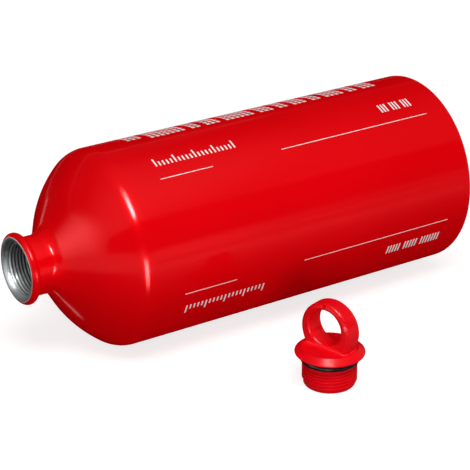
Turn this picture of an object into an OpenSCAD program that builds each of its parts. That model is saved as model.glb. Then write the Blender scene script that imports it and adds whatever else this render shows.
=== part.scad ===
// Camping fuel bottle, drawn and spun from one piece of aluminium, laid on its side with its
// screw cap taken off and stood beside it. Millimetres.
// The origin is the centre of the mouth. +X runs along the bottle from mouth to base, +Z is up.

/* [Body] */
// Outside diameter of the body
body_d = 98; // [84:1:118]
// Length from the mouth to the standing ring
body_len = 237.5; // [190:0.5:300]
// Wall of the body and shoulder
wall = 1; // [0.8:0.1:1.5]
// Radius of the tight bend where the shoulder meets the body
corner_r = 14.5; // [8:0.5:20]
// Radius of the wide dome between that bend and the neck
dome_r = 63; // [50:1:80]
// Angle from the axis at which the dome meets the root of the neck
dome_slope = 58.6; // [50:0.2:66]
// Angle from the axis at which the dome meets the tight bend
dome_blend = 36.8; // [25:0.2:45]

/* [Base] */
// Thickness of the base
base_wall = 1.3; // [1:0.1:2.5]
// Radius of the outside corner at the foot of the body
base_corner = 3; // [2.5:0.1:6]
// Radius at which the dish in the base begins
dish_r = 40; // [30:0.5:41]
// Depth of the dish in the base
dish_h = 5; // [2:0.5:8]

/* [Neck] */
// Bore of the neck, to the roots of the thread
bore_d = 26.3; // [22:0.1:32]
// Wall of the neck outside the thread
neck_wall = 1.3; // [1:0.1:2.5]
// Distance from the mouth to where the neck starts to flare
neck_len = 11; // [8:0.5:18]
// Radius of the flare outside, at the root of the neck
flare_r = 7.4; // [4:0.2:10]
// Radius of the flare inside, where the bore ends
bore_flare_r = 3; // [2:0.2:5]
// Thickness of the rolled bead round the mouth
bead_d = 4.4; // [3:0.1:6]

/* [Cap] */
// Clearance between the crests of the cap's thread and the roots of the neck's, on the radius
thread_clear = 0.1; // [0.05:0.05:0.3]
// Length of the threaded stretch
thread_len = 10.1; // [7:0.1:12]
// Depth of the thread
thread_depth = 0.75; // [0.5:0.05:1]
// Length of the plain pilot below the thread
pilot_len = 1.8; // [1:0.1:3]
// Wall between the hollow shank and the seal's groove
cap_wall = 1.8; // [1.2:0.1:2.5]
// How far the flange reaches past the bore, on the radius
flange_lap = 3.5; // [3:0.05:4.5]
// Thickness of the flange at its rim
rim_t = 1.2; // [0.8:0.1:2]
// Height of the flange's flat crown above its rim
crown_h = 2.1; // [1:0.1:3]
// How far in from the rim the crown begins
crown_in = 2.8; // [1.6:0.1:3.4]
// Rounding of the crown's edge
crown_edge = 0.4; // [0.2:0.1:0.8]

/* [Ring handle] */
// Diameter of the finger hole
ring_hole = 17.7; // [14:0.1:20]
// Thickness of the ring above the finger hole
top_t = 3.4; // [2.6:0.1:4.5]
// How much larger the ring's outside is than the finger hole, on the radius
side_t = 5.25; // [4:0.05:5.5]
// Width of the ring along the finger hole
ring_w = 9.7; // [7:0.1:12]
// Height of the web below the finger hole
web_h = 1.75; // [1.2:0.05:4]
// How much the ring draws in on each side, from its middle to its foot
foot_draw = 2.2; // [1.6:0.1:3.5]
// Rounding of the ring's outer edges
ring_edge = 2.4; // [1:0.1:3]
// Rounding of the finger hole's edges
hole_edge = 1.5; // [0.6:0.1:2]
// Radius of the cove round the ring's foot
cove_r = 1.5; // [0.8:0.1:1.6]

/* [Seal] */
// Thickness of the rubber ring
seal_d = 2.7; // [2:0.1:3.3]
// How far the rubber ring stands out past the bore, on the radius
seal_out = 0.95; // [0.4:0.05:1.2]
// Clearance of the rubber ring in its groove
seal_clear = 0.05; // [0.02:0.01:0.2]

/* [Layout] */
// Place of the cap's axis along the bottle
cap_x = 111.5; // [80:0.5:160]
// Distance of the cap's axis from the bottle's
cap_y = -98; // [-140:1:-90]
// Turn of the finger hole away from the bottle's axis
cap_turn = 17; // [0:1:45]

/* [Hidden] */
$fn = 96;
ARC_STEPS = 10;
SMALL_ARC_STEPS = 6;
OVERCUT = 1;

body_r = body_d / 2;
bore_r = bore_d / 2;
bead_r = bead_d / 2;
neck_r = bore_r + neck_wall;
lip_r = bore_r + bead_r;

thread_r = bore_r - thread_clear;
root_r = thread_r - thread_depth;
pilot_r = root_r;
pilot_edge = 1.2;
seal_out_r = bore_r + seal_out;
seal_mid_r = seal_out_r - seal_d / 2;
groove_r = seal_out_r - seal_d - seal_clear;
land_h = 0.15;
groove_z = pilot_len + thread_len + land_h;
groove_h = seal_d + 2 * seal_clear;
hollow_r = groove_r - cap_wall;
hollow_h = groove_z + groove_h - cap_wall;
flange_r = bore_r + flange_lap;
seal_proud = 0.4;
flange_foot = seal_out_r - seal_proud;
skirt_h = 1.2;
flange_z = groove_z + groove_h + skirt_h;
rim_r = rim_t / 2;
crown_z = flange_z + rim_t + crown_h;
flat_r = flange_r - crown_in - crown_edge;
hole_r = ring_hole / 2;
hole_z = crown_z + web_h + hole_r;
ring_r = hole_r + side_t;
ring_z = hole_z + hole_r + top_t - ring_r;
ring_half = ring_w / 2;
foot_half = ring_r - foot_draw;

// Points on an arc round c, from angle a to angle b
function arc(c, r, a, b, n) = [for (i = [0:n]) c + r * [cos(a + (b - a) * i / n), sin(a + (b - a) * i / n)]];

// The shoulder in [radius, distance] from the neck to the body, set in by a wall, with the end of its
// tight bend at distance 0. The angles here are the outline's own angle to the bottle's axis.
function bend_c() = [body_r - corner_r, 0];
function dome_c() = bend_c() - (dome_r - corner_r) * [cos(dome_blend), -sin(dome_blend)];
function dome_end(inset) = dome_c() + (dome_r - inset) * [cos(dome_slope), -sin(dome_slope)];
function flare_start(inset, r0, flare) =
    dome_end(inset)[1] + (r0 + flare * (1 - cos(dome_slope)) - dome_end(inset)[0]) / tan(dome_slope)
    - flare * sin(dome_slope);
shoulder_end = neck_len - flare_start(0, neck_r, flare_r);
function shoulder(inset, r0, flare) = concat(
    arc([r0 + flare, shoulder_end + flare_start(inset, r0, flare)], flare, 180, 180 - dome_slope, SMALL_ARC_STEPS),
    arc([dome_c()[0], shoulder_end + dome_c()[1]], dome_r - inset, -dome_slope, -dome_blend, SMALL_ARC_STEPS),
    arc([bend_c()[0], shoulder_end], corner_r - inset, -dome_blend, 0, SMALL_ARC_STEPS));

// The dish is part of a sphere whose centre lies outside the base
dish_sphere = (dish_r * dish_r + dish_h * dish_h) / (2 * dish_h);
dish_c = [0, body_len - dish_h + dish_sphere];
function dish(r) = arc(dish_c, r, -90, -90 + asin(dish_edge(r) / r), ARC_STEPS);
function dish_edge(r) = sqrt(r * r - pow(r - dish_h, 2));
function reversed(list) = [for (i = [len(list) - 1:-1:0]) list[i]];

module bottle_outline() {
    foot_c = [body_r - base_corner, body_len - base_corner];
    inner_corner = base_corner - wall;
    inner_c = [body_r - base_corner, body_len - base_wall - inner_corner];
    polygon(concat(
        arc([lip_r, bead_r], bead_r, -180, 90, 2 * ARC_STEPS),
        [[neck_r, bead_d]],
        shoulder(0, neck_r, flare_r),
        arc(foot_c, base_corner, 0, 90, SMALL_ARC_STEPS),
        reversed(dish(dish_sphere)),
        dish(dish_sphere + base_wall),
        arc(inner_c, inner_corner, 90, 0, SMALL_ARC_STEPS),
        reversed(shoulder(wall, bore_r, bore_flare_r))));
}

module bottle_shell() {
    color("crimson")
        rotate([0, 90, 0])
            rotate_extrude()
                bottle_outline();
}

// The cap stands on the end of its shank; heights are counted from there
module at_cap() {
    translate([cap_x, cap_y, -body_r])
        rotate([0, 0, cap_turn])
            children();
}

// Angle at which a straight line touches two round corners, one on each of two centres
function touch(a, ra, b, rb) = atan2(b[1] - a[1], b[0] - a[0]) - acos((ra - rb) / norm(b - a));

module cap_outline() {
    rim_c = [flange_r - rim_r, flange_z + rim_r];
    crown_c = [flat_r, crown_z - crown_edge];
    slope = touch(rim_c, rim_r, crown_c, crown_edge);
    polygon(concat(
        [[hollow_r, 0]],
        arc([pilot_r - pilot_edge, pilot_edge], pilot_edge, -90, 0, SMALL_ARC_STEPS),
        [[pilot_r, pilot_len],
         [thread_r, pilot_len],
         [thread_r, pilot_len + thread_len],
         [root_r, pilot_len + thread_len],
         [root_r, groove_z],
         [groove_r, groove_z],
         [groove_r, groove_z + groove_h],
         [flange_foot, groove_z + groove_h]],
        arc(rim_c, rim_r, -60, slope, SMALL_ARC_STEPS),
        arc(crown_c, crown_edge, slope, 90, SMALL_ARC_STEPS),
        [[0, crown_z],
         [0, hollow_h],
         [hollow_r, hollow_h]]));
}

// A disc on edge with rounded rims; the finger hole runs along X
module rounded_disc(r, half, edge) {
    rotate([0, 90, 0])
        rotate_extrude($fn = 48)
            polygon(concat(
                [[0, -half]],
                arc([r - edge, edge - half], edge, -90, 0, SMALL_ARC_STEPS),
                arc([r - edge, half - edge], edge, 0, 90, SMALL_ARC_STEPS),
                [[0, half]]));
}

// Moves what it holds to the four rounded corners of the ring's foot
module at_foot_corners() {
    for (x = [-1, 1], y = [-1, 1])
        translate([x * (ring_half - ring_edge), y * (foot_half - ring_edge), crown_z])
            children();
}

module ring_blank() {
    hull() {
        translate([0, 0, ring_z])
            rounded_disc(ring_r, ring_half, ring_edge);
        at_foot_corners()
            translate([0, 0, -OVERCUT])
                cylinder(r = ring_edge, h = OVERCUT, $fn = 32);
    }
}

// The finger hole, opening out over its own rounded edges
module finger_hole() {
    flared_r = hole_r + hole_edge;
    translate([0, 0, hole_z])
        rotate([0, 90, 0])
            rotate_extrude()
                polygon(concat(
                    [[0, -ring_half - OVERCUT], [flared_r, -ring_half - OVERCUT]],
                    arc([flared_r, hole_edge - ring_half], hole_edge, 270, 180, SMALL_ARC_STEPS),
                    arc([flared_r, ring_half - hole_edge], hole_edge, 180, 90, SMALL_ARC_STEPS),
                    [[flared_r, ring_half + OVERCUT], [0, ring_half + OVERCUT]]));
}

// Section of the cove: it stands on the crown, against a wall at a given distance
module cove_section(wall_at) {
    difference() {
        translate([0, -OVERCUT])
            square([wall_at + cove_r, cove_r + OVERCUT]);
        translate([wall_at + cove_r, cove_r])
            circle(cove_r);
    }
}

// The cove that eases the ring's foot into the crown, along its two faces and round its four corners
module foot_cove() {
    intersection() {
        union() {
            for (side = [0, 1])
                mirror([side, 0, 0])
                    translate([0, 0, crown_z])
                        rotate([90, 0, 0])
                            linear_extrude(2 * (foot_half - ring_edge), center = true)
                                cove_section(ring_half);
            at_foot_corners()
                rotate_extrude()
                    cove_section(ring_edge);
        }
        cylinder(r = flat_r, h = ring_z);
    }
}

module screw_cap() {
    color("red")
        at_cap() {
            rotate_extrude()
                cap_outline();
            difference() {
                union() {
                    ring_blank();
                    foot_cove();
                }
                finger_hole();
            }
        }
}

module o_ring() {
    color("dimgray")
        at_cap()
            translate([0, 0, groove_z + groove_h / 2])
                rotate_extrude()
                    translate([seal_mid_r, 0])
                        circle(d = seal_d, $fn = 48);
}

bottle_shell();
screw_cap();
o_ring();
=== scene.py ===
import math

import bpy
from mathutils import Matrix, Vector


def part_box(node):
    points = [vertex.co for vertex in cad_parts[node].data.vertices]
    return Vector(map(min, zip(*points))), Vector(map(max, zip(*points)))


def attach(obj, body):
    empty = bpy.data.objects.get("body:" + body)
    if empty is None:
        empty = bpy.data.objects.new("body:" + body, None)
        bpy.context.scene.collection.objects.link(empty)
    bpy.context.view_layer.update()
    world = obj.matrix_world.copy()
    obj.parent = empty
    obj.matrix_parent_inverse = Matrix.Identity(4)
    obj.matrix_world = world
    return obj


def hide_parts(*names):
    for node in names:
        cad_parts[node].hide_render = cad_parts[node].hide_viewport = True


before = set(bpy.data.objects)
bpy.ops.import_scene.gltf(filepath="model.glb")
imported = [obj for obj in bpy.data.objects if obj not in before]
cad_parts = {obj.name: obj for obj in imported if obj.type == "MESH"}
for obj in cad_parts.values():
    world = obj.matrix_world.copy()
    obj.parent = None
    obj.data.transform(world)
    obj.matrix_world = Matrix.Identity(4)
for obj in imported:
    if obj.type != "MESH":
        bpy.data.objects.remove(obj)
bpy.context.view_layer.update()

# The bottle: one piece of impact-extruded aluminium. The neck is drawn in, its lip is rolled outwards into
# a bead, and a coarse thread is cut inside it. The outside is sprayed with gloss red lacquer up to the lip,
# and the lip's front, the thread and the inside stay bare metal.
MM = 0.001
BODY_LOW, BODY_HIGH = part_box("bottle_shell")
BODY_R = BODY_HIGH.y
BODY_LEN = BODY_HIGH.x
WALL = 1.0 * MM
BASE_WALL = 1.3 * MM
BASE_CORNER = 3.0 * MM
DISH_R = 40.0 * MM
DISH_DEPTH = 5.0 * MM
CORNER_R = 14.5 * MM
DOME_R = 63.0 * MM
DOME_SLOPE = math.radians(58.6)
DOME_BLEND = math.radians(36.8)
BORE_R = 13.15 * MM
BEAD_R = 2.2 * MM
NECK_R = 14.45 * MM
NECK_LEN = 11.0 * MM
FLARE_R = 7.4 * MM
BORE_FLARE_R = 3.0 * MM
PAINT_EDGE = math.radians(-76)
THREAD_PITCH = 1.7 * MM
THREAD_DEPTH = 0.75 * MM
THREAD_STEP = 0.1 * MM
BOTTLE_SEGMENTS = 256


def arc(centre, radius, start, end, steps):
    """Points (radius from the axis, distance along it) on an arc, its angle counted from straight outwards."""
    points = []
    for i in range(steps + 1):
        a = start + (end - start) * i / steps
        points.append((centre[0] + radius * math.cos(a), centre[1] + radius * math.sin(a)))
    return points


def straight(a, b, step):
    """Points from a to b, so close together that a thread can be cut in them."""
    count = max(1, round(math.dist(a, b) / step))
    return [(a[0] + (b[0] - a[0]) * i / count, a[1] + (b[1] - a[1]) * i / count) for i in range(count + 1)]


def shoulder(inset, neck_radius, flare):
    """The drawn-in shoulder from the neck to the body, set in by the wall."""
    bend = (BODY_R - CORNER_R, 0.0)
    dome = (bend[0] - (DOME_R - CORNER_R) * math.cos(DOME_BLEND), (DOME_R - CORNER_R) * math.sin(DOME_BLEND))

    def flare_start(inset, neck_radius, flare):
        end_r = dome[0] + (DOME_R - inset) * math.cos(DOME_SLOPE)
        end_s = dome[1] - (DOME_R - inset) * math.sin(DOME_SLOPE)
        climb = neck_radius + flare * (1 - math.cos(DOME_SLOPE)) - end_r
        return end_s + climb / math.tan(DOME_SLOPE) - flare * math.sin(DOME_SLOPE)

    shift = NECK_LEN - flare_start(0.0, NECK_R, FLARE_R)
    root = (neck_radius + flare, shift + flare_start(inset, neck_radius, flare))
    flared = arc(root, flare, math.pi, math.pi - DOME_SLOPE, 14)
    domed = arc((dome[0], shift + dome[1]), DOME_R - inset, -DOME_SLOPE, -DOME_BLEND, 14)
    bent = arc((bend[0], shift), CORNER_R - inset, -DOME_BLEND, 0.0, 14)
    return flared + domed + bent[1:]


def dish(inset):
    """The shallow dish in the base, part of a large sphere, from its edge to the middle."""
    sphere = (DISH_R ** 2 + DISH_DEPTH ** 2) / (2 * DISH_DEPTH)
    centre = (0.0, BODY_LEN - DISH_DEPTH + sphere)
    radius = sphere + inset
    edge = math.sqrt(radius ** 2 - (radius - DISH_DEPTH) ** 2)
    return arc(centre, radius, math.asin(edge / radius) - math.pi / 2, -math.pi / 2, 24)


def bottle_outline():
    """The whole section: round the bead, over the shoulder, round the base, and back up the inside."""
    bead = arc((BORE_R + BEAD_R, BEAD_R), BEAD_R, -math.pi, math.pi / 2, 54)
    foot_centre = (BODY_R - BASE_CORNER, BODY_LEN - BASE_CORNER)
    foot = arc(foot_centre, BASE_CORNER, 0.0, math.pi / 2, 12)
    inner_corner = BASE_CORNER - WALL
    inner_foot = arc((foot_centre[0], BODY_LEN - BASE_WALL - inner_corner), inner_corner, math.pi / 2, 0.0, 8)
    outside = bead + [(NECK_R, 2 * BEAD_R)] + shoulder(0.0, NECK_R, FLARE_R) + foot + dish(0.0)
    inside = dish(BASE_WALL)[::-1] + inner_foot + shoulder(WALL, BORE_R, BORE_FLARE_R)[::-1]
    bore = straight(inside[-1], bead[0], THREAD_STEP)
    return outside + inside + bore[1:-1]


def started(name, place):
    """A new piece that is only a point at a place so far, open for drawing on."""
    bpy.ops.object.select_all(action="DESELECT")
    bpy.ops.mesh.primitive_plane_add(size=MM, location=(0, 0, 0))
    piece = bpy.context.object
    piece.name = piece.data.name = name
    bpy.ops.object.mode_set(mode="EDIT")
    bpy.ops.mesh.merge(type="CENTER")
    bpy.ops.transform.translate(value=place)
    return piece


def drawn_through(places):
    """Draws what is selected out along the places, from the first to the last."""
    for here, there in zip(places, places[1:]):
        bpy.ops.mesh.extrude_region_move(TRANSFORM_OT_translate={"value": there - here})


def closed_up():
    """Joins the points that meet and turns every face outwards."""
    bpy.ops.mesh.select_all(action="SELECT")
    bpy.ops.mesh.remove_doubles(threshold=0.001 * MM)
    bpy.ops.mesh.normals_make_consistent(inside=False)


def turned(name, outline, segments):
    """A closed outline of (radius, distance) spun about the X axis into a shell."""
    places = [Vector((along, 0.0, radius)) for radius, along in outline]
    piece = started(name, places[0])
    drawn_through(places + places[:1])
    closed_up()
    bpy.ops.mesh.spin(steps=segments, angle=2 * math.pi, center=(0, 0, 0), axis=(1, 0, 0))
    closed_up()
    bpy.ops.object.mode_set(mode="OBJECT")
    return piece


def ridge(along, turn, first, last, fullness):
    """Height of a right-hand thread's ridge, 0 to 1, at a distance along the axis and a turn of 0 to 1. A
    fuller ridge has a broader crest and leaves a narrower groove."""
    lead = along / THREAD_PITCH - turn
    nearest = math.floor(lead + 0.5)
    middle = (nearest + turn) * THREAD_PITCH
    height = min(1.0, max(0.0, fullness + 0.85 * math.cos(2 * math.pi * (lead - nearest))))
    runout = 0.04 * THREAD_PITCH
    start = min(1.0, max(0.0, (middle - first) / runout))
    stop = min(1.0, max(0.0, (last - middle) / runout))
    return height * start * stop


def new_finish(name):
    """A new material, its nodes, and its surface shader."""
    material = bpy.data.materials.new(name)
    material.use_nodes = True
    tree = material.node_tree
    return material, tree, tree.nodes["Principled BSDF"]


def mottling(tree, scale, detail, stretch=(1, 1, 1)):
    """Cloudy values over the piece's own place in metres."""
    place = tree.nodes.new("ShaderNodeTexCoord")
    mapping = tree.nodes.new("ShaderNodeMapping")
    noise = tree.nodes.new("ShaderNodeTexNoise")
    mapping.inputs["Scale"].default_value = stretch
    noise.inputs["Scale"].default_value = scale
    noise.inputs["Detail"].default_value = detail
    tree.links.new(place.outputs["Object"], mapping.inputs["Vector"])
    tree.links.new(mapping.outputs["Vector"], noise.inputs["Vector"])
    return noise.outputs["Fac"]


def shades(tree, value, stops):
    """Colours over a value; stops are (position, colour)."""
    ramp = tree.nodes.new("ShaderNodeValToRGB")
    while len(ramp.color_ramp.elements) < len(stops):
        ramp.color_ramp.elements.new(0.5)
    for element, (position, colour) in zip(ramp.color_ramp.elements, stops):
        element.position = position
        element.color = (*colour, 1.0)
    tree.links.new(value, ramp.inputs["Fac"])
    return ramp.outputs["Color"]


def greys(tree, value, low, high):
    """Plain numbers over a value, from low where it is 0.3 to high where it is 0.7."""
    return shades(tree, value, [(0.3, (low, low, low)), (0.7, (high, high, high))])


def along_x(tree, low, high):
    """0 where the piece's X is low, 1 where it is high, and even between."""
    place = tree.nodes.new("ShaderNodeTexCoord")
    axes = tree.nodes.new("ShaderNodeSeparateXYZ")
    part = tree.nodes.new("ShaderNodeMapRange")
    part.inputs["From Min"].default_value = low
    part.inputs["From Max"].default_value = high
    tree.links.new(place.outputs["Object"], axes.inputs[0])
    tree.links.new(axes.outputs["X"], part.inputs["Value"])
    return part.outputs["Result"]


def from_axis(tree, low, high):
    """0 where the piece is near the X axis, 1 where it is farther off, and even between."""
    place = tree.nodes.new("ShaderNodeTexCoord")
    across = tree.nodes.new("ShaderNodeVectorMath")
    across.operation = "MULTIPLY"
    across.inputs[1].default_value = (0, 1, 1)
    far = tree.nodes.new("ShaderNodeVectorMath")
    far.operation = "LENGTH"
    part = tree.nodes.new("ShaderNodeMapRange")
    part.inputs["From Min"].default_value = low
    part.inputs["From Max"].default_value = high
    tree.links.new(place.outputs["Object"], across.inputs[0])
    tree.links.new(across.outputs["Vector"], far.inputs[0])
    tree.links.new(far.outputs["Value"], part.inputs["Value"])
    return part.outputs["Result"]


def blend(tree, part, first, second):
    """The first colour where part is 0 and the second where it is 1."""
    mix = tree.nodes.new("ShaderNodeMix")
    mix.data_type = "RGBA"
    tree.links.new(part, mix.inputs["Factor"])
    tree.links.new(first, mix.inputs["A"])
    tree.links.new(second, mix.inputs["B"])
    return mix.outputs["Result"]


def relief(tree, height, strength, depth, shader):
    """Fine relief on the surface from a height."""
    bump = tree.nodes.new("ShaderNodeBump")
    bump.inputs["Strength"].default_value = strength
    bump.inputs["Distance"].default_value = depth
    tree.links.new(height, bump.inputs["Height"])
    tree.links.new(bump.outputs["Normal"], shader.inputs["Normal"])


def red_lacquer():
    """Two thin coats of red that let a little of the metal's sheen through, under a clear gloss. It is rubbed
    dull where the bottle stands."""
    material, tree, shader = new_finish("red_lacquer")
    colour = shades(tree, mottling(tree, 18, 3), [(0.35, (0.78, 0.0005, 0.003)), (0.65, (0.83, 0.0007, 0.004))])
    tree.links.new(colour, shader.inputs["Base Color"])
    gloss = greys(tree, mottling(tree, 45, 4), 0.18, 0.22)
    rubbed = greys(tree, mottling(tree, 1300, 4), 0.24, 0.55)
    standing = along_x(tree, BODY_LEN - 0.5 * MM, BODY_LEN - 0.1 * MM)
    tree.links.new(blend(tree, standing, gloss, rubbed), shader.inputs["Roughness"])
    shader.inputs["Metallic"].default_value = 0.05
    shader.inputs["Specular IOR Level"].default_value = 0.0
    shader.inputs["Coat Weight"].default_value = 0.20
    shader.inputs["Coat Roughness"].default_value = 0.11
    shader.inputs["Coat IOR"].default_value = 1.5
    relief(tree, mottling(tree, 700, 2), 0.04, 0.02 * MM, shader)
    return material


def bare_aluminium():
    """Metal with fine turning lines round the axis, on the rolled lip and on the thread's crests. The lip's outer
    edge, where the lacquer was trimmed off it, has a bright ring: partly the polish there and partly a painted
    highlight. The thread's roots and the whole inside are painted dark: painted shade in the grooves and in the
    hollow of the bottle."""
    material, tree, shader = new_finish("bare_aluminium")
    lines = mottling(tree, 1.0, 3, (6000, 12, 12))
    lip = shades(tree, lines, [(0.3, (0.32, 0.33, 0.34)), (0.7, (0.47, 0.48, 0.49))])
    # A bright ring round the lip's outer edge: partly the polish where the lacquer was trimmed, partly a painted
    # highlight.
    polish_and_painted_highlight = shades(tree, lines, [(0.3, (0.84, 0.85, 0.86)), (0.7, (0.92, 0.93, 0.94))])
    rim = from_axis(tree, BORE_R + BEAD_R + 0.05 * MM, BORE_R + BEAD_R + 0.15 * MM)
    # Crests light, roots dark, and all the inside as dark as the roots: painted shade in the thread's grooves and
    # inside the bottle.
    height = from_axis(tree, BORE_R - THREAD_DEPTH, BORE_R)
    thread = shades(tree, height, [(0.15, (0.76, 0.77, 0.78)), (0.85, (0.16, 0.17, 0.18))])
    deep = along_x(tree, 2.3 * MM, 2.9 * MM)
    tree.links.new(blend(tree, deep, blend(tree, rim, lip, polish_and_painted_highlight), thread), shader.inputs["Base Color"])
    shader.inputs["Metallic"].default_value = 1.0
    tree.links.new(greys(tree, mottling(tree, 400, 3), 0.37, 0.45), shader.inputs["Roughness"])
    relief(tree, lines, 0.10, 0.02 * MM, shader)
    return material


bottle = turned("bottle", bottle_outline(), BOTTLE_SEGMENTS)
bore_end = NECK_LEN + 2.8 * MM
for vertex in bottle.data.vertices:
    x, y, z = vertex.co
    radius = math.hypot(y, z)
    if 2 * MM < x < bore_end and radius < BORE_R + 0.01 * MM:
        turn = (math.atan2(z, y) / (2 * math.pi)) % 1.0
        height = ridge(x, turn, 2.9 * MM, bore_end - 0.6 * MM, 0.5)
        narrow = (BORE_R - THREAD_DEPTH * height) / radius
        vertex.co = (x, y * narrow, z * narrow)
bottle.data.materials.append(red_lacquer())
bottle.data.materials.append(bare_aluminium())
for face in bottle.data.polygons:
    x, y, z = face.center
    radius = math.hypot(y, z)
    faces_in = face.normal.dot(Vector((0, y, z))) < 0
    inner = radius < BODY_R - WALL / 2 and faces_in and x < BODY_LEN - 6.5 * MM
    bare_lip = x < BEAD_R and radius < BORE_R + BEAD_R + BEAD_R * math.cos(PAINT_EDGE)
    inner_base = BODY_LEN - 6.6 * MM < x < BODY_LEN - BASE_WALL / 2 and face.normal.x < 0
    if (inner and (radius < BORE_R + BEAD_R or x > 2 * BEAD_R)) or bare_lip or inner_base:
        face.material_index = 1
bpy.ops.object.shade_smooth_by_angle(angle=math.radians(40))
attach(bottle, "bottle")
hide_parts("bottle_shell")

# The printed marks: white ink laid on the lacquer through a screen, so each mark is a film a few hundredths
# of a millimetre thick that follows the round body. Four thin rules run along it, with plain scales and bars.
INK_T = 0.05 * MM
INK_GAP = 0.01 * MM
RULE_W = 0.34 * MM
SHORT_RULE = (63.6 * MM, 92.8 * MM)
LONG_RULE = (132.5 * MM, 222.6 * MM)
UPPER_TURN = 33.6
LOWER_TURN = 102.4
SCALE_FROM = 9.0
SCALE_START = 65.5 * MM
SCALE_STEP = 2.2 * MM
SCALE_MARKS = 21
BAR_W = 0.85 * MM
BAR_STEP = 1.8 * MM
BLOCK_W = 1.8 * MM
BLOCK_STEP = 2.9 * MM
BLOCK_GROUPS = (3, 7, 2, 3, 6, 3, 2, 3, 2, 4, 2, 3)
BLOCK_ROWS = (-7.6, -11.4, -15.2, -19.0)
BLOCK_TALL = 2.5
BLOCKS_FROM = 66.0 * MM


def mark(name, x0, x1, turn0, turn1):
    """One mark from x0 to x1 along the body and from turn0 to turn1 round it, in degrees from the top."""
    rows = max(1, round(abs(turn1 - turn0)))
    turns = [math.radians(turn0 + (turn1 - turn0) * i / rows) for i in range(rows + 1)]
    places = [Vector((x0, -math.sin(a) * (BODY_R + INK_GAP), math.cos(a) * (BODY_R + INK_GAP))) for a in turns]
    piece = started(name, places[0])
    drawn_through([Vector((x0, 0, 0)), Vector((x1, 0, 0))])
    bpy.ops.mesh.select_all(action="SELECT")
    drawn_through(places)
    bpy.ops.mesh.select_all(action="SELECT")
    bpy.ops.object.mode_set(mode="OBJECT")
    side = piece.data.polygons[0]
    if side.normal.dot(Vector((0, side.center.y, side.center.z))) < 0:
        bpy.ops.object.mode_set(mode="EDIT")
        bpy.ops.mesh.flip_normals()
        bpy.ops.object.mode_set(mode="OBJECT")
    return piece


def copied_along(piece, shift):
    """A copy of a mark with its own mesh, moved along the bottle."""
    twin = piece.copy()
    twin.data = piece.data.copy()
    twin.data.transform(Matrix.Translation((shift, 0, 0)))
    bpy.context.scene.collection.objects.link(twin)
    return twin


def one_print(name, marks):
    """All the marks of one print as a single piece, given the ink's thickness."""
    bpy.ops.object.select_all(action="DESELECT")
    for piece in marks:
        piece.select_set(True)
    bpy.context.view_layer.objects.active = marks[0]
    bpy.ops.object.join()
    printed = bpy.context.object
    printed.name = printed.data.name = name
    film = printed.modifiers.new("ink", "SOLIDIFY")
    film.thickness = INK_T
    film.offset = 1
    bpy.ops.object.modifier_apply(modifier="ink")
    return printed


def white_ink():
    """Screen-printed white, a little uneven in cover."""
    material, tree, shader = new_finish("white_ink")
    cover = shades(tree, mottling(tree, 900, 3), [(0.3, (0.88, 0.83, 0.83)), (0.6, (0.97, 0.95, 0.95))])
    tree.links.new(cover, shader.inputs["Base Color"])
    tree.links.new(greys(tree, mottling(tree, 300, 2), 0.38, 0.5), shader.inputs["Roughness"])
    relief(tree, mottling(tree, 1500, 2), 0.1, 0.01 * MM, shader)
    return material


def scale_marks(name, near, long_end, short_end):
    """A row of ticks, every fifth one long. One tick of each length is drawn, and the others are its copies."""
    long_tick = mark(name, SCALE_START, SCALE_START + 0.8 * MM, near, long_end)
    short_tick = mark(name, SCALE_START + SCALE_STEP, SCALE_START + SCALE_STEP + 0.8 * MM, near, short_end)
    ticks = [long_tick, short_tick]
    for i in range(2, SCALE_MARKS):
        if i % 5 == 0:
            ticks.append(copied_along(long_tick, i * SCALE_STEP))
        else:
            ticks.append(copied_along(short_tick, (i - 1) * SCALE_STEP))
    return ticks


def in_groups(first, groups, step):
    """A row of equal marks in groups: the first is drawn, and a copy stands at every further place. One place
    stays bare between two groups."""
    places = []
    start = 0
    for count in groups:
        places += [(start + i) * step for i in range(count)]
        start += count + 1
    return [first] + [copied_along(first, shift) for shift in places[1:]]


half_rule = math.degrees(RULE_W / BODY_R) / 2
rules = [mark("rule", *span, turn - half_rule, turn + half_rule)
         for turn in (UPPER_TURN, LOWER_TURN) for span in (SHORT_RULE, LONG_RULE)]
upper_near = UPPER_TURN - SCALE_FROM
lower_near = LOWER_TURN + SCALE_FROM
scales = scale_marks("upper_tick", upper_near, upper_near - 6.0, upper_near - 3.4)
scales += scale_marks("lower_tick", lower_near, lower_near + 6.0, lower_near + 3.4)
upper_bar = mark("upper_bar", 199 * MM, 199 * MM + BAR_W, 25.4, 18.8)
lower_bar = mark("lower_bar", 186 * MM, 186 * MM + BAR_W, 110.8, 117.0)
bars = in_groups(upper_bar, (3, 3, 3), BAR_STEP) + in_groups(lower_bar, (5, 5, 7), BAR_STEP)
second = BLOCKS_FROM + (BLOCK_GROUPS[0] + 1) * BLOCK_STEP
block = mark("near_block", second, second + BLOCK_W, -3.8, -3.8 - BLOCK_TALL)
bars += in_groups(block, BLOCK_GROUPS[1:], BLOCK_STEP)
for near in BLOCK_ROWS:
    block = mark("block", BLOCKS_FROM, BLOCKS_FROM + BLOCK_W, near, near - BLOCK_TALL)
    bars += in_groups(block, BLOCK_GROUPS, BLOCK_STEP)
ink = white_ink()
for printed in (one_print("printed_rules", rules), one_print("printed_scales", scales),
                one_print("printed_bars", bars)):
    printed.data.materials.append(ink)
    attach(printed, "bottle")

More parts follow.
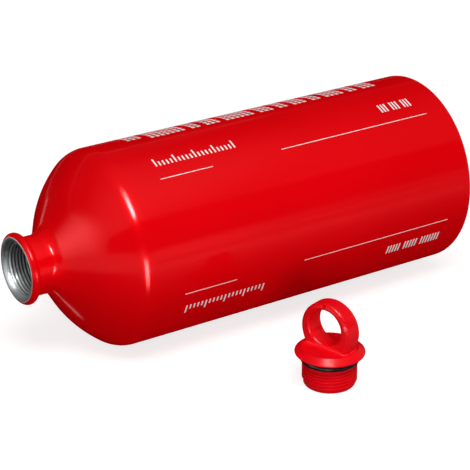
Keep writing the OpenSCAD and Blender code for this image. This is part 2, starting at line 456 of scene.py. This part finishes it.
# The screw cap: one moulding in red nylon, with a ring handle to turn and hang it by, a flange with a flat
# crown, and a hollow shank with a coarse thread. The ring's edges are rounded, its foot runs into the crown
# in a cove, and a small dimple in the ring's face shows where the nylon was let into the mould.
CAP_LOW, CAP_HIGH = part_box("screw_cap")
CAP_X = (CAP_LOW.x + CAP_HIGH.x) / 2
CAP_Y = (CAP_LOW.y + CAP_HIGH.y) / 2
CAP_TURN = math.radians(17)
CAP_SEGMENTS = 192
ROOT_R = 12.3 * MM
PILOT_LEN = 1.8 * MM
THREAD_LEN = 10.1 * MM
GROOVE_Z = 12.05 * MM
GROOVE_H = 2.8 * MM
GROOVE_R = 11.35 * MM
HOLLOW_R = 9.55 * MM
HOLLOW_H = 13.05 * MM
FLANGE_R = min(CAP_HIGH.x - CAP_LOW.x, CAP_HIGH.y - CAP_LOW.y) / 2
FLANGE_Z = 16.05 * MM
RIM_T = 1.2 * MM
CROWN_Z = 19.35 * MM
CROWN_R = 13.45 * MM
CROWN_EDGE = 0.4 * MM
HOLE_R = 8.85 * MM
HOLE_Z = 29.95 * MM
HOLE_EDGE = 1.5 * MM
RING_R = 14.1 * MM
RING_Z = 28.1 * MM
RING_HALF = 4.85 * MM
RING_EDGE = 2.4 * MM
FOOT_HALF = 11.9 * MM
COVE = 1.5 * MM
GATE_Z = 40.8 * MM


def cap_outline():
    """The cap's section below the ring, from the rim of the hollow up to the crown."""
    rim = RIM_T / 2
    pilot = arc((ROOT_R - 1.2 * MM, 1.2 * MM), 1.2 * MM, -math.pi / 2, 0.0, 10)
    shank = straight((ROOT_R, PILOT_LEN), (ROOT_R, PILOT_LEN + THREAD_LEN), THREAD_STEP)
    groove = [(ROOT_R, GROOVE_Z), (GROOVE_R + 0.2 * MM, GROOVE_Z), (GROOVE_R, GROOVE_Z + 0.2 * MM),
              (GROOVE_R, GROOVE_Z + GROOVE_H), (13.7 * MM, GROOVE_Z + GROOVE_H)]
    flange = arc((FLANGE_R - rim, FLANGE_Z + rim), rim, math.radians(-60), math.radians(38), 12)
    crown = arc((CROWN_R, CROWN_Z - CROWN_EDGE), CROWN_EDGE, math.radians(38), math.pi / 2, 6)
    top = [(0.0, CROWN_Z), (0.0, HOLLOW_H)]
    hollow = arc((HOLLOW_R - 1.0 * MM, HOLLOW_H - 1.0 * MM), 1.0 * MM, math.pi / 2, 0.0, 6)
    foot = [(HOLLOW_R, 0.3 * MM), (HOLLOW_R + 0.3 * MM, 0.0)]
    return pilot + shank + groove + flange + crown + top + hollow + foot


def upright(piece):
    """Turns a piece spun about X so that its axis stands upright, still round the origin."""
    piece.data.transform(Matrix.Rotation(-math.pi / 2, 4, "Y"))
    return piece


def filled(name, places):
    """A flat face inside a closed line through the places, left open for shaping."""
    piece = started(name, places[0])
    drawn_through(places + places[:1])
    closed_up()
    bpy.ops.mesh.edge_face_add()
    return piece


def ring_blank():
    """The ring before its finger hole: a thick disc on edge, drawn in to its foot, with its edges rounded."""
    foot = Vector((FOOT_HALF, CROWN_Z))
    middle = Vector((0.0, RING_Z))
    down = foot - middle
    start = math.atan2(down.y, down.x) + math.acos(RING_R / down.length)
    touch = middle + RING_R * Vector((math.cos(start), math.sin(start)))
    low = touch + (foot - touch) * 1.9
    round_top = arc(middle, RING_R, start, math.pi - start, 64)
    outline = [(low.x, low.y)] + round_top + [(-low.x, low.y)]
    blank = filled("ring_blank", [Vector((-RING_HALF, y, z)) for y, z in outline])
    bpy.ops.mesh.extrude_region_move(TRANSFORM_OT_translate={"value": (2 * RING_HALF, 0, 0)})
    closed_up()
    bpy.ops.mesh.select_all(action="DESELECT")
    bpy.ops.mesh.select_mode(type="EDGE")
    bpy.ops.object.mode_set(mode="OBJECT")
    for edge in blank.data.edges:
        a, b = (blank.data.vertices[i].co for i in edge.vertices)
        edge.select = abs(a.x - b.x) < 0.001 * MM and (a.z + b.z) / 2 > low.y + 0.1 * MM
    bpy.ops.object.mode_set(mode="EDIT")
    bpy.ops.mesh.bevel(offset=RING_EDGE, segments=8, profile=0.5, affect="EDGES", clamp_overlap=False)
    bpy.ops.mesh.select_mode(type="VERT")
    bpy.ops.object.mode_set(mode="OBJECT")
    return blank


def foot_cove():
    """The cove all round the ring's foot: a plinth on the crown that is drawn in step by step as it rises."""
    half_x = RING_HALF - RING_EDGE
    half_y = FOOT_HALF - RING_EDGE
    corner = RING_EDGE + COVE
    outline = []
    for quarter, (x, y) in enumerate(((half_x, half_y), (-half_x, half_y), (-half_x, -half_y), (half_x, -half_y))):
        start = quarter * math.pi / 2
        outline += arc((x, y), corner, start, start + math.pi / 2, 10)
    plinth = filled("foot_cove", [Vector((x, y, CROWN_Z - MM)) for x, y in outline])
    bpy.ops.mesh.extrude_region_move(TRANSFORM_OT_translate={"value": (0, 0, MM)})
    steps = 8
    rises = [COVE * (1 - math.cos(math.pi / 2 * i / steps)) for i in range(steps + 1)]
    draws = [COVE * math.sin(math.pi / 2 * i / steps) for i in range(steps + 1)]
    for i in range(steps):
        last = 0.03 * MM if i == steps - 1 else 0.0
        bpy.ops.mesh.inset(thickness=draws[i + 1] - draws[i] + last, depth=0)
        bpy.ops.transform.translate(value=(0, 0, rises[i + 1] - rises[i]))
    closed_up()
    bpy.ops.object.mode_set(mode="OBJECT")
    return plinth


def finger_hole():
    """The cutter for the finger hole, which opens out over the hole's rounded edges."""
    wide = HOLE_R + HOLE_EDGE
    past = RING_HALF + 2 * MM
    left = arc((wide, HOLE_EDGE - RING_HALF), HOLE_EDGE, math.radians(270), math.radians(180), 8)
    right = arc((wide, RING_HALF - HOLE_EDGE), HOLE_EDGE, math.radians(180), math.radians(90), 8)
    cutter = turned("hole_cutter", [(0.0, -past), (wide, -past)] + left + right + [(wide, past), (0.0, past)], 96)
    cutter.data.transform(Matrix.Translation((0, 0, HOLE_Z)))
    return cutter


def gate_dimple():
    """The cutter for the dimple in the ring's face, at which the nylon was let into the mould."""
    dimple = turned("gate_dimple", [(0.0, -MM), (1.1 * MM, -MM), (0.75 * MM, 1.3 * MM), (0.0, 1.3 * MM)], 24)
    dimple.data.transform(Matrix.Translation((-RING_HALF, 0.4 * MM, GATE_Z)))
    return dimple


def gate_stub():
    """The stub left in the dimple where the moulding was broken off its runner."""
    stub = turned("gate_stub", [(0.0, 0.0), (0.3 * MM, 0.0), (0.4 * MM, 0.8 * MM), (0.0, 0.8 * MM)], 24)
    stub.data.transform(Matrix.Translation((0.8 * MM - RING_HALF, 0.4 * MM, GATE_Z)))
    return stub


def fitted(piece, other, way):
    """Joins another solid to a piece or cuts it out, and takes the other away."""
    fit = piece.modifiers.new("fit", "BOOLEAN")
    fit.object = other
    fit.operation = way
    fit.solver = "EXACT"
    bpy.context.view_layer.objects.active = piece
    bpy.ops.object.modifier_apply(modifier="fit")
    bpy.data.objects.remove(other)


def red_nylon():
    """Moulded nylon: an even strong red, satin, with the faint grain of the mould."""
    material, tree, shader = new_finish("red_nylon")
    colour = shades(tree, mottling(tree, 60, 3), [(0.3, (0.82, 0.001, 0.006)), (0.7, (0.90, 0.002, 0.009))])
    tree.links.new(colour, shader.inputs["Base Color"])
    tree.links.new(greys(tree, mottling(tree, 260, 4), 0.19, 0.25), shader.inputs["Roughness"])
    shader.inputs["Specular IOR Level"].default_value = 0.14
    shader.inputs["Subsurface Weight"].default_value = 0.05
    shader.inputs["Subsurface Radius"].default_value = (1.0 * MM, 0.2 * MM, 0.2 * MM)
    relief(tree, mottling(tree, 1600, 3), 0.12, 0.02 * MM, shader)
    return material


cap = upright(turned("cap", cap_outline(), CAP_SEGMENTS))
for vertex in cap.data.vertices:
    x, y, z = vertex.co
    radius = math.hypot(x, y)
    if PILOT_LEN - 0.001 * MM < z < PILOT_LEN + THREAD_LEN + 0.001 * MM and radius > ROOT_R - 0.01 * MM:
        turn = (math.atan2(y, x) / (2 * math.pi)) % 1.0
        height = ridge(z, turn, PILOT_LEN + 0.6 * MM, PILOT_LEN + THREAD_LEN - 0.84 * MM, 0.78)
        wide = (ROOT_R + THREAD_DEPTH * height) / radius
        vertex.co = (x * wide, y * wide, z)
ring = ring_blank()
fitted(ring, foot_cove(), "UNION")
fitted(ring, finger_hole(), "DIFFERENCE")
fitted(ring, gate_dimple(), "DIFFERENCE")
fitted(ring, gate_stub(), "UNION")
fitted(cap, ring, "UNION")
place_cap = Matrix.Translation((CAP_X, CAP_Y, CAP_LOW.z)) @ Matrix.Rotation(CAP_TURN, 4, "Z")
cap.data.transform(place_cap)
bpy.ops.object.select_all(action="DESELECT")
cap.select_set(True)
bpy.ops.object.shade_smooth_by_angle(angle=math.radians(35))
even = cap.modifiers.new("even", "WEIGHTED_NORMAL")
even.keep_sharp = True
bpy.ops.object.modifier_apply(modifier="even")
cap.data.materials.clear()
cap.data.materials.append(red_nylon())
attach(cap, "cap")
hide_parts("screw_cap")

# The seal: a black nitrile rubber ring of round section, stretched over the shank into its groove, under
# the flange. It is moulded, so a fine flash line runs round its outside.
SEAL_R = 1.35 * MM
SEAL_MID_R = 12.75 * MM


def black_rubber():
    """Nitrile rubber, new and smooth, with a slight bloom."""
    material, tree, shader = new_finish("black_rubber")
    bloom = shades(tree, mottling(tree, 500, 4), [(0.35, (0.003, 0.003, 0.004)), (0.75, (0.010, 0.010, 0.013))])
    tree.links.new(bloom, shader.inputs["Base Color"])
    tree.links.new(greys(tree, mottling(tree, 700, 3), 0.20, 0.28), shader.inputs["Roughness"])
    shader.inputs["Specular IOR Level"].default_value = 0.3
    relief(tree, mottling(tree, 2200, 3), 0.12, 0.015 * MM, shader)
    return material


seal_outline = arc((SEAL_MID_R, GROOVE_Z + GROOVE_H / 2), SEAL_R, 0.0, 2 * math.pi, 32)[:-1]
seal_outline[0] = (seal_outline[0][0] + 0.03 * MM, seal_outline[0][1])
seal = upright(turned("seal_ring", seal_outline, 160))
seal.data.transform(place_cap)
bpy.ops.object.shade_smooth_by_angle(angle=math.radians(60))
seal.data.materials.append(black_rubber())
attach(seal, "cap")
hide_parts("o_ring")

# The floor: a plain pale sheet under the bottle and the cap, lit like a studio table.
FLOOR_SIZE = 12.0
FLOOR_Z = BODY_LOW.z - 0.02 * MM


def seen_by(tree, *rays):
    """1 for the named kinds of ray and 0 for the others."""
    path = tree.nodes.new("ShaderNodeLightPath")
    seen = path.outputs[rays[0]]
    for ray in rays[1:]:
        either = tree.nodes.new("ShaderNodeMath")
        either.operation = "MAXIMUM"
        tree.links.new(seen, either.inputs[0])
        tree.links.new(path.outputs[ray], either.inputs[1])
        seen = either.outputs[0]
    return seen


def level_for(tree, seen, unseen_level, seen_level):
    """A strength that differs between the rays that see a surface and the others."""
    level = tree.nodes.new("ShaderNodeMapRange")
    level.inputs["To Min"].default_value = unseen_level
    level.inputs["To Max"].default_value = seen_level
    tree.links.new(seen, level.inputs["Value"])
    return level.outputs["Result"]


bpy.ops.object.select_all(action="DESELECT")
bpy.ops.mesh.primitive_plane_add(size=FLOOR_SIZE, location=(0, 0, FLOOR_Z))
floor = bpy.context.object
floor.name = "floor"
floor_material, floor_tree, floor_shader = new_finish("pale_floor")
floor_shader.inputs["Base Color"].default_value = (0.45, 0.45, 0.45, 1)
floor_shader.inputs["Roughness"].default_value = 1.0
floor_shader.inputs["Specular IOR Level"].default_value = 0.0
floor_shader.inputs["Emission Color"].default_value = (1, 1, 1, 1)
floor_seen = seen_by(floor_tree, "Is Camera Ray", "Is Glossy Ray", "Is Transmission Ray")
floor_tree.links.new(level_for(floor_tree, floor_seen, 0.0, 0.77), floor_shader.inputs["Emission Strength"])
floor.data.materials.append(floor_material)

# The studio: a white room all round, with black flags and grey nets standing, lying and hanging round the
# table and a few strips of light, as a photographer sets them for gloss, which shows deep colour between clear
# bands. Only gloss shows them. Four soft lamps, which gloss doesn't show, light everything. The black card
# lying under and in front of the bottle is a painted shadow: in the gloss it stands for the floor's own shadow
# there.
world = bpy.data.worlds.new("studio")
bpy.context.scene.world = world
world.use_nodes = True
world_tree = world.node_tree
background = world_tree.nodes["Background"]
background.inputs["Color"].default_value = (1, 1, 1, 1)
world_seen = seen_by(world_tree, "Is Camera Ray", "Is Glossy Ray", "Is Transmission Ray")
world_tree.links.new(level_for(world_tree, world_seen, 0.22, 1.0), background.inputs["Strength"])


def softened(tree, axis, half, low_fade, high_fade):
    """1 between a card's two ends, fading to 0 towards each of them."""
    parts = []
    for end, fade in ((-half, low_fade), (half, -high_fade)):
        part = tree.nodes.new("ShaderNodeMapRange")
        part.interpolation_type = "SMOOTHSTEP"
        part.inputs["From Min"].default_value = end
        part.inputs["From Max"].default_value = end + fade
        tree.links.new(axis, part.inputs["Value"])
        parts.append(part.outputs["Result"])
    return product(tree, parts[0], parts[1])


def product(tree, first, second):
    """Two values multiplied; the second may be a plain number."""
    node = tree.nodes.new("ShaderNodeMath")
    node.operation = "MULTIPLY"
    tree.links.new(first, node.inputs[0])
    if isinstance(second, float):
        node.inputs[1].default_value = second
    else:
        tree.links.new(second, node.inputs[1])
    return node.outputs[0]


def card(name, place, size, facing, fades, light=0.0, density=1.0, taper=1.0):
    """A soft-edged card that only the gloss shows: black, or a strip of light where light isn't 0. Fades are
    (left, right, bottom, top) in metres, density is how much of what lies behind it a black card hides, and
    taper is the width of its top end over that of its bottom end."""
    bpy.ops.object.select_all(action="DESELECT")
    bpy.ops.mesh.primitive_plane_add(size=1.0, location=place, rotation=facing)
    board = bpy.context.object
    board.name = name
    board.scale = (size[0], size[1], 1.0)
    bpy.ops.object.transform_apply(location=False, rotation=False, scale=True)
    for corner in board.data.vertices:
        if corner.co.y > 0:
            corner.co.x *= taper
    material = bpy.data.materials.new(name)
    material.use_nodes = True
    tree = material.node_tree
    tree.nodes.clear()
    where = tree.nodes.new("ShaderNodeTexCoord")
    axes = tree.nodes.new("ShaderNodeSeparateXYZ")
    tree.links.new(where.outputs["Object"], axes.inputs[0])
    across = softened(tree, axes.outputs["X"], size[0] / 2, fades[0], fades[1])
    up = softened(tree, axes.outputs["Y"], size[1] / 2, fades[2], fades[3])
    cover = product(tree, across, up)
    glow = tree.nodes.new("ShaderNodeEmission")
    glow.inputs["Strength"].default_value = 0.0
    clear = tree.nodes.new("ShaderNodeBsdfTransparent")
    if light:
        together = tree.nodes.new("ShaderNodeAddShader")
        tree.links.new(product(tree, cover, light), glow.inputs["Strength"])
        shader_inputs = together.inputs
    else:
        together = tree.nodes.new("ShaderNodeMixShader")
        tree.links.new(product(tree, cover, density), together.inputs[0])
        shader_inputs = together.inputs[1:]
    out = tree.nodes.new("ShaderNodeOutputMaterial")
    tree.links.new(clear.outputs[0], shader_inputs[0])
    tree.links.new(glow.outputs[0], shader_inputs[1])
    tree.links.new(together.outputs[0], out.inputs["Surface"])
    board.data.materials.append(material)
    board.visible_camera = False
    board.visible_diffuse = False
    board.visible_shadow = False
    board.visible_transmission = False


STANDING = (math.pi / 2, 0, 0)
SIDEWAYS = (math.pi / 2, 0, math.pi / 2)
LYING = (0, 0, 0)
LEANING = (math.radians(-13.4), 0, math.radians(-13.1))
SLANTED = (0, 0, math.radians(-14.5))
ACROSS = (0, 0, math.radians(-51.8))
card("front_flag", (0.0, -1.0, 0.57), (6.0, 0.98), STANDING, (0.1, 0.1, 0.14, 0.2))
card("back_flag", (0.0, 1.2, 0.43), (6.0, 0.94), STANDING, (0.1, 0.1, 0.02, 0.3))
# A painted shadow: this black card stands, in the gloss, for the floor's shadow under and in front of the bottle.
card("table_flag", (0.2, 0.03, FLOOR_Z + 0.3 * MM), (0.80, 0.80), LYING, (0.1, 0.1, 0.32, 0.12))
card("far_table_flag", (0.2, 0.72, FLOOR_Z + 0.4 * MM), (2.6, 0.94), LYING, (0.2, 0.2, 0.12, 0.02))
card("table_net", (1.17, -0.62, FLOOR_Z + 0.5 * MM), (2.0, 0.8), LYING, (0.25, 0.1, 0.1, 0.12), density=0.6)
card("overhead_net", (0.0, 0.75, 1.3), (6.0, 2.8), LYING, (0.1, 0.1, 1.8, 0.05), density=0.9)
card("right_net", (1.2, -0.35, 1.025), (3.7, 2.15), SIDEWAYS, (0.7, 0.1, 0.02, 0.7), density=0.65)
card("upper_strip", (-0.22, -0.515, 1.0), (0.36, 0.96), SLANTED, (0.14, 0.14, 0.27, 0.63), light=125.0)
card("lower_strip", (-0.0074, -0.279, -0.0007), (0.11, 0.383), LEANING, (0.03, 0.03, 0.28, 0.09), light=38.0,
     taper=0.12)
card("left_light", (-0.9, 0.16, 0.21), (1.0, 0.8), SIDEWAYS, (0.5, 0.5, 0.4, 0.4), light=3.8)
card("rim_strip", (-0.24, 1.0, -0.01), (0.16, 0.07), STANDING, (0.04, 0.04, 0.02, 0.02), light=3.2)
card("low_strip", (0.0115, 0.007, FLOOR_Z + 0.6 * MM), (0.028, 0.006), ACROSS, (0.01, 0.01, 0.002, 0.002),
     light=3.0)


def soft_box(name, place, target, size, power):
    """A rectangular lamp at a place, facing a target; size is (width, height) in metres."""
    lamp = bpy.data.lights.new(name, "AREA")
    lamp.shape = "RECTANGLE"
    lamp.size, lamp.size_y = size
    lamp.energy = power
    holder = bpy.data.objects.new(name, lamp)
    bpy.context.scene.collection.objects.link(holder)
    holder.location = place
    aim = Vector(target) - Vector(place)
    holder.rotation_euler = aim.to_track_quat("-Z", "Y").to_euler()
    holder.visible_camera = False
    holder.visible_glossy = False


MIDDLE = (0.12, 0.0, 0.0)
soft_box("key", (-0.2, -0.72, 1.42), MIDDLE, (1.1, 0.5), 15.0)
soft_box("front", (-0.45, -1.3, 0.1), MIDDLE, (0.5, 0.6), 6.9)
soft_box("back", (-0.4, 1.3, 0.05), MIDDLE, (0.6, 0.4), 3.0)
soft_box("right", (1.4, -0.3, 0.3), MIDDLE, (0.5, 0.5), 2.2)

# The camera, at the photograph's viewing angle, with a lens for the photograph's square frame; the frame itself is
# not set here.
CAMERA_TARGET = Vector((0.1235, 0.0, -0.0126))
CAMERA_DISTANCE = 0.9514
CAMERA_AZIMUTH = math.radians(-33.67)
CAMERA_ELEVATION = math.radians(24.07)
CAMERA_LENS = 144.06
back = Vector((math.sin(CAMERA_AZIMUTH) * math.cos(CAMERA_ELEVATION),
               -math.cos(CAMERA_AZIMUTH) * math.cos(CAMERA_ELEVATION), math.sin(CAMERA_ELEVATION)))
camera = bpy.data.objects.new("camera", bpy.data.cameras.new("camera"))
bpy.context.scene.collection.objects.link(camera)
camera.data.lens = CAMERA_LENS
camera.data.sensor_width = 36.0
camera.data.clip_start = 0.01
camera.location = CAMERA_TARGET + back * CAMERA_DISTANCE
camera.rotation_euler = (-back).to_track_quat("-Z", "Y").to_euler()
bpy.context.scene.camera = camera
bpy.context.scene.view_settings.view_transform = "Standard"
